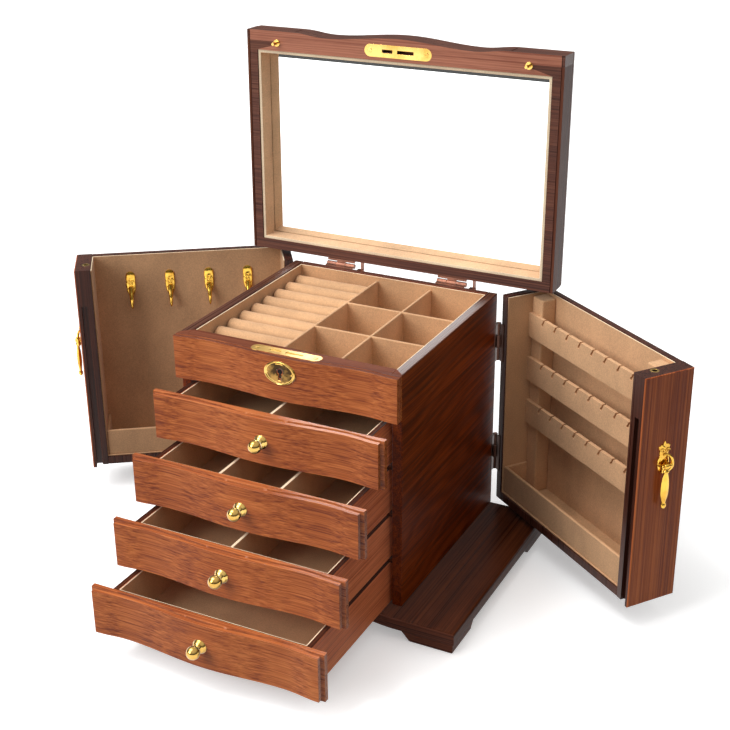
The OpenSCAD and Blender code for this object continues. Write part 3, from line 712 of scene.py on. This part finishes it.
def escutcheon():
    """A domed oval plate with a rolled rim, a keyhole and two pins. The keyhole is closed by a sheet
    painted near black as shade, and the inner field is a darker brass, a painted dark reflection.
    The profile is (share of the way from the hole to the rim, height in mm)."""
    low, high = closed_box("escutcheon")
    centre = Vector(((low.x + high.x) / 2, low.y + 1.7 * MM, (low.z + high.z) / 2))
    half_w, half_h = (high.x - low.x) / 2, (high.z - low.z) / 2
    key_r, slot, drop = 3.3 * MM, 1.6 * MM, 7.6 * MM
    profile = [(0, -3.0), (0, 0.75), (0.02, 0.9), (0.3, 1.22), (0.6, 1.18), (0.78, 0.92), (0.83, 0.82),
               (0.86, 0.95), (0.89, 1.4), (0.925, 1.6), (0.96, 1.5), (0.99, 1.15), (1.0, 0.7), (1.0, -0.7)]
    steps = 120
    slot_corners = (atan2(slot, drop), asin(slot / key_r))
    angles = sorted([tau * k / steps for k in range(steps)]
                    + [-pi / 2 + tau + s * a for s in (-1, 1) for a in slot_corners])
    bm = bmesh.new()
    rings = []
    for along, height in profile:
        ring = []
        for a in angles:
            inner = key_r
            if sin(a) < -0.5:
                inner = max(key_r, min(slot / max(abs(cos(a)), 1e-6), drop / -sin(a)))
            hole = Vector((inner * cos(a), inner * sin(a) + 1 * MM))
            rim = Vector((half_w * cos(a), half_h * sin(a)))
            p = hole.lerp(rim, along)
            ring.append(centre + Vector((p.x, -height * MM, p.y)))
        rings.append(ring)
    skin(bm, rings, caps=False)
    bm.verts.ensure_lookup_table()
    # The keyhole is closed by a flat sheet painted near black, as shade in the hole.
    keyhole_shade_sheet_y = centre.y + 0.25 * MM
    keyhole_shade_sheet = [bm.verts.new((p.co.x, keyhole_shade_sheet_y, p.co.z)) for p in bm.verts[:len(angles)]]
    # The inner field takes the darker brass, a painted dark reflection.
    for face in bm.faces:
        c = face.calc_center_median() - centre
        face.material_index = int((c.x / half_w) ** 2 + (c.z / half_h) ** 2 < 0.66)
    bm.faces.new(keyhole_shade_sheet).material_index = 2
    for x in (-12, 12):
        place = (Matrix.Translation(centre + Vector((x * MM, -0.6 * MM, 0)))
                 @ Matrix.Rotation(radians(90), 4, "X") @ Matrix.Scale(MM, 4))
        lathe(bm, [(1.1, 0), (1.1, 0.4), (0.95, 0.75), (0.6, 0.95), (0, 1.0)], place, 20)
    piece("escutcheon.fine", bm, "case", [BRASS, BRASS_PAINTED_DARK_REFLECTION, KEYHOLE_PAINTED_SHADE], ["escutcheon"],
          50, False)


escutcheon()
refined("lock_plate", [PLATE], 0.15 * MM)
for node in ("lock_case", "lock_bolt"):
    refined(node, [BRASS], 0.15 * MM)
for node in ("lid_hinge_fixed_leaves", "lid_hinge_leaves", "hinge_pins"):
    refined(node, [BRONZE], 0.15 * MM)
for node in ("door_hinge_fixed_leaves", "left_door_hinge_leaves", "right_door_hinge_leaves"):
    refined(node, [DOOR_BRONZE], 0.15 * MM)


def relief(bm, outline, crown, place, motif):
    """A cast plaque: outline is its edge in mm, and it rises to crown mm with a motif on top."""
    rings = 7
    count = len(outline)
    middle = Vector((sum(p[0] for p in outline) / count, sum(p[1] for p in outline) / count))
    loops = [[place @ Vector((x, y, 0)) for x, y in outline]]
    for k in range(rings):
        t = k / rings
        height = crown * (0.45 + 0.55 * sqrt(1 - (1 - t) ** 2))
        loop = []
        for x, y in outline:
            p = Vector((x, y)).lerp(middle, t * 0.96)
            loop.append(place @ Vector((p.x, p.y, height + motif(p.x, p.y) * min(1, 4 * t))))
        loops.append(loop)
    skin(bm, loops)


def scroll(bm, place, turns, size, flip, radii, side):
    """A raised scroll that winds in to its centre. flip is 1, or -1 for its mirror image."""
    steps = 26
    points = []
    for k in range(steps + 1):
        t = k / steps
        a = tau * turns * t
        r = size * (1 - 0.82 * t)
        points.append(place @ Vector((flip * r * cos(a), r * sin(a), 0.5 * t)))
    tube(bm, points, [r * MM for r in radii], 8, side)


def mirrored(right_half):
    """The whole outline of a plaque from its right half."""
    return right_half + [(-x, y) for x, y in right_half[::-1] if x > 0]


def necklace_hooks():
    """Four cast hooks: a plaque with scrolls, and a pointed tail that curves out of it."""
    low, high = closed_box("necklace_hooks")
    half_hook = 4.4 * MM
    bm = bmesh.new()
    first, last = low.y + half_hook, high.y - half_hook
    half = [(0, 2.6), (1.8, 2.2), (3.6, 0.9), (4.7, -1.2), (5.0, -4), (4.7, -8), (4.9, -12), (4.6, -16),
            (3.9, -19.5), (2.7, -22.5), (1.2, -24.6), (0, -25.2)]
    outline = mirrored(half)

    def motif(x, y):
        screw = 0.7 * exp(-((x * x + (y + 1.5) ** 2 - 4.5) / 4) ** 2)
        leaves = 0.35 * sin(1.25 * y + 1.1 * abs(x)) * (1 if y < -5 else 0)
        return screw + leaves

    for k in range(4):
        y = first + (last - first) * k / 3
        place = Matrix(((0, 0, 1, low.x), (-1, 0, 0, y), (0, 1, 0, high.z - 2.6 * MM), (0, 0, 0, 1)))
        place = place @ Matrix.Scale(MM, 4)
        relief(bm, outline, 1.6, place, motif)
        for flip in (-1, 1):
            for at, turns, size, radii in (((flip * 1.4, -9.5, 1.9), 1.2, 2.4, (0.62, 0.75, 0.3)),
                                           ((flip * 1.2, -15.5, 1.8), -1.1, 2.1, (0.55, 0.65, 0.3))):
                scroll(bm, place @ Matrix.Translation(at), turns, size, flip, radii,
                       Vector((1, 0, 0.1)))
        path = smooth_path([place @ Vector(p) for p in
                            ((0, -14, 1.2), (0, -19, 3.0), (0, -23, 5.0), (0, -27, 6.3), (0, -31.5, 6.4),
                             (0, -35.2, 5.2), (0, -37.2, 3.8))])
        tube(bm, path, [r * MM for r in (2.6, 2.4, 2.1, 1.9, 1.5, 0.9, 0.25)], 14, Vector((0, 1, 0)))
    piece("necklace_hooks.fine", bm, "left_door", [CAST], ["necklace_hooks"], 60, False)


def handle(side):
    """A cast back plate with a finial and a scroll, and the drop that hangs from it."""
    low, high = closed_box(side + "_handle_plate")
    pin_low, pin_high = closed_box(side + "_handle_drop")
    middle = (low.x + high.x) / 2
    pivot = Vector((middle, (pin_low.y + pin_high.y) / 2, pin_high.z - 2.4 * MM))
    top = (high.z - pivot.z) / MM
    place = Matrix(((1, 0, 0, middle), (0, 0, -1, high.y), (0, 1, 0, pivot.z), (0, 0, 0, 1)))
    place = place @ Matrix.Scale(MM, 4)
    plate_side = Vector((0, -1, 0.1))

    def on_pin(x):
        """Turns +Z along the pin, x mm from the middle of the handle, and takes mm."""
        return (Matrix.Translation(pivot + Vector((x * MM, 0, 0)))
                @ Matrix.Rotation(radians(90), 4, "Y") @ Matrix.Scale(MM, 4))

    half = [(0, top), (1.0, top - 1.6), (1.5, top - 3.2), (3.4, top - 3.0), (4.6, top - 4.4),
            (5.9, top - 4.2), (5.4, top - 6.6), (4.4, top - 8.6), (4.8, top - 10.8),
            (4.0, top - 12.6), (4.9, 7), (5.8, 4.4), (6.0, 1), (5.6, -2), (4.6, -4.4), (3.4, -6.4),
            (1.8, -8.0), (0, -8.8)]
    bm = bmesh.new()
    relief(bm, mirrored(half), 1.5, place, lambda x, y: 0.4 * sin(1.3 * y) * cos(0.9 * x)
           + 0.5 * exp(-(x * x + (y - 15) ** 2) / 6))
    for flip in (-1, 1):
        scroll(bm, place @ Matrix.Translation((flip * 2.6, top - 8.5, 1.6)), 1.1, 2.2, flip,
               (0.6, 0.7, 0.3), plate_side)
    hook = smooth_path([place @ Vector(p) for p in
                        ((-1.5, 9.5, 1.6), (1.5, 9.8, 2.6), (4.6, 7.6, 3.6), (6.4, 3.2, 4.2),
                         (6.2, -1.6, 4.2), (3.6, -4.6, 3.6), (0.8, -4.0, 3.0), (0.2, -1.4, 2.6),
                         (2.0, 0.4, 2.8))])
    tube(bm, hook, [r * MM for r in (0.8, 1.3, 1.6, 1.3, 0.9)], 12, plate_side)
    for x in (-4.2, 4.2):
        lathe(bm, [(0.9, 0), (1.7, 0), (2.0, 0.4), (2.0, 1.6), (1.7, 2), (0.9, 2)], on_pin(x - 1), 20)
        tube(bm, [place @ Vector((x, 0, out)) for out in (0.5, 2.2, 3.6)],
             [r * MM for r in (1.7, 1.3, 1.2)], 12)
    piece(side + "_handle_plate.fine", bm, side + "_door", [CAST],
          [side + "_handle_plate"], 60, False)

    bm = bmesh.new()
    lathe(bm, [(0, 0), (0.7, 0), (0.8, 0.3), (0.8, 2.8), (2.1, 2.9), (2.4, 3.4), (2.4, 7.4), (2.1, 7.9),
               (0.8, 8), (0.8, 10.5), (0.7, 10.8), (0, 10.8)], on_pin(-5.4), 24)
    length = (pivot.z - pin_low.z) / MM
    profile = [(1.2, 1.5), (1.5, 3.2), (2.6, 4.2), (2.8, 5.0), (2.4, 5.8), (1.9, 6.6), (2.4, 8.5), (3.0, 11),
               (3.5, 15), (3.8, 20), (3.7, 25), (3.2, 29), (2.5, 32), (1.8, 34), (1.7, 34.8), (2.4, 35.8),
               (2.7, 37.2), (2.3, 38.8), (1.4, length - 0.8), (0.3, length)]
    steps = 32
    rings = []
    for r, down in profile:
        flat = 0.62 if 7 < down < 34 else 0.85
        ring = []
        for k in range(steps):
            a = tau * k / steps
            ridge = 1 + (0.07 * cos(8 * a) if 8 < down < 31 else 0)
            ring.append(pivot + Vector((r * ridge * cos(a), r * ridge * flat * sin(a), -down)) * MM)
        rings.append(ring)
    skin(bm, rings)
    piece(side + "_handle_drop.fine", bm, side + "_handle", [CAST],
          [side + "_handle_drop"], 60, False)


necklace_hooks()
handle("left")
handle("right")


# ---- Stage, lights and camera ----

def stage_floor():
    """A white floor that throws no bounced light onto the chest."""
    bm = bmesh.new()
    bmesh.ops.create_grid(bm, x_segments=8, y_segments=8, size=9)
    mesh = bpy.data.meshes.new("floor")
    bm.to_mesh(mesh)
    bm.free()
    mesh.materials.append(floor_paper())
    floor = bpy.data.objects.new("floor", mesh)
    floor.visible_diffuse = False
    scene.collection.objects.link(floor)


def sun(name, toward, strength, spread):
    """A broad parallel light that shines along toward. spread is in degrees."""
    light = bpy.data.lights.new(name, "SUN")
    light.energy = strength
    light.angle = radians(spread)
    lamp = bpy.data.objects.new(name, light)
    scene.collection.objects.link(lamp)
    lamp.rotation_euler = Vector(toward).to_track_quat("-Z", "Y").to_euler()


def softbox(name, at, aim, size, power):
    """A rectangular lamp at one point, aimed at another."""
    light = bpy.data.lights.new(name, "AREA")
    light.shape = "RECTANGLE"
    light.size, light.size_y = size
    light.energy = power
    lamp = bpy.data.objects.new(name, light)
    scene.collection.objects.link(lamp)
    lamp.location = at
    lamp.rotation_euler = (Vector(aim) - Vector(at)).to_track_quat("-Z", "Y").to_euler()


def sky(stops):
    """A studio that is dim at the horizon and bright overhead, with a pale wall behind the floor.
    stops are (height, brightness)."""
    world = bpy.data.worlds.new("studio")
    world.use_nodes = True
    tree = world.node_tree
    place = tree.nodes.new("ShaderNodeTexCoord").outputs["Generated"]
    split = tree.nodes.new("ShaderNodeSeparateXYZ")
    ramp = tree.nodes.new("ShaderNodeValToRGB")
    elements = ramp.color_ramp.elements
    while len(elements) < len(stops):
        elements.new(0.5)
    for element, (height, value) in zip(elements, stops):
        element.position = height
        element.color = (value, value * 0.99, value * 0.975, 1)
    tree.links.new(place, split.inputs[0])
    tree.links.new(split.outputs["Z"], ramp.inputs["Fac"])
    glow = tree.nodes["Background"]
    tree.links.new(ramp.outputs["Color"], glow.inputs["Color"])
    wall = tree.nodes.new("ShaderNodeBackground")
    wall.inputs["Color"].default_value = (0.9, 0.9, 0.89, 1)
    seen = tree.nodes.new("ShaderNodeLightPath").outputs["Is Camera Ray"]
    choice = tree.nodes.new("ShaderNodeMixShader")
    for socket, value in enumerate((seen, glow.outputs[0], wall.outputs[0])):
        tree.links.new(value, choice.inputs[socket])
    tree.links.new(choice.outputs[0], tree.nodes["World Output"].inputs["Surface"])
    scene.world = world


def set_camera(location, yaw, pitch, roll, focal):
    """The photograph's viewpoint. Angles are in degrees, and focal is in frame widths."""
    yaw, pitch, roll = radians(yaw), radians(pitch), radians(roll)
    ahead = Vector((-sin(yaw) * cos(pitch), cos(yaw) * cos(pitch), sin(pitch)))
    right = Vector((cos(yaw), sin(yaw), 0))
    up = right.cross(ahead)
    tilted = cos(roll) * right + sin(roll) * up
    camera = bpy.data.objects.new("camera", bpy.data.cameras.new("camera"))
    camera.data.lens = focal * camera.data.sensor_width
    camera.matrix_world = Matrix.Translation(location) @ Matrix(
        (tilted, cos(roll) * up - sin(roll) * right, -ahead)).transposed().to_4x4()
    scene.collection.objects.link(camera)
    scene.camera = camera


# The mirror shows only the white studio, so what stands in front of it casts no reflections.
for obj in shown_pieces():
    if (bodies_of(obj)[0].startswith(("case", "drawer", "lock"))
            and obj.name not in ("base_board.fine", "feet.fine")):
        obj.visible_glossy = False

stage_floor()
sky([(0.0, 0.1), (0.25, 0.16), (0.6, 0.75), (1.0, 0.95)])
sun("top_sun", (0.42, 0.2, -0.9), 1.35, 45)
sun("glint_sun", (0.43, 0.15, -0.9), 0.4, 9)
softbox("front_light", (-1.35, -2.1, 1.4), (0, 0, 0.15), (1.4, 1.4), 48)
set_camera((0.54242, -1.00658, 0.70255), 27.15, -23.96, -0.58, 1.87140)
scene.view_settings.view_transform = "Standard"
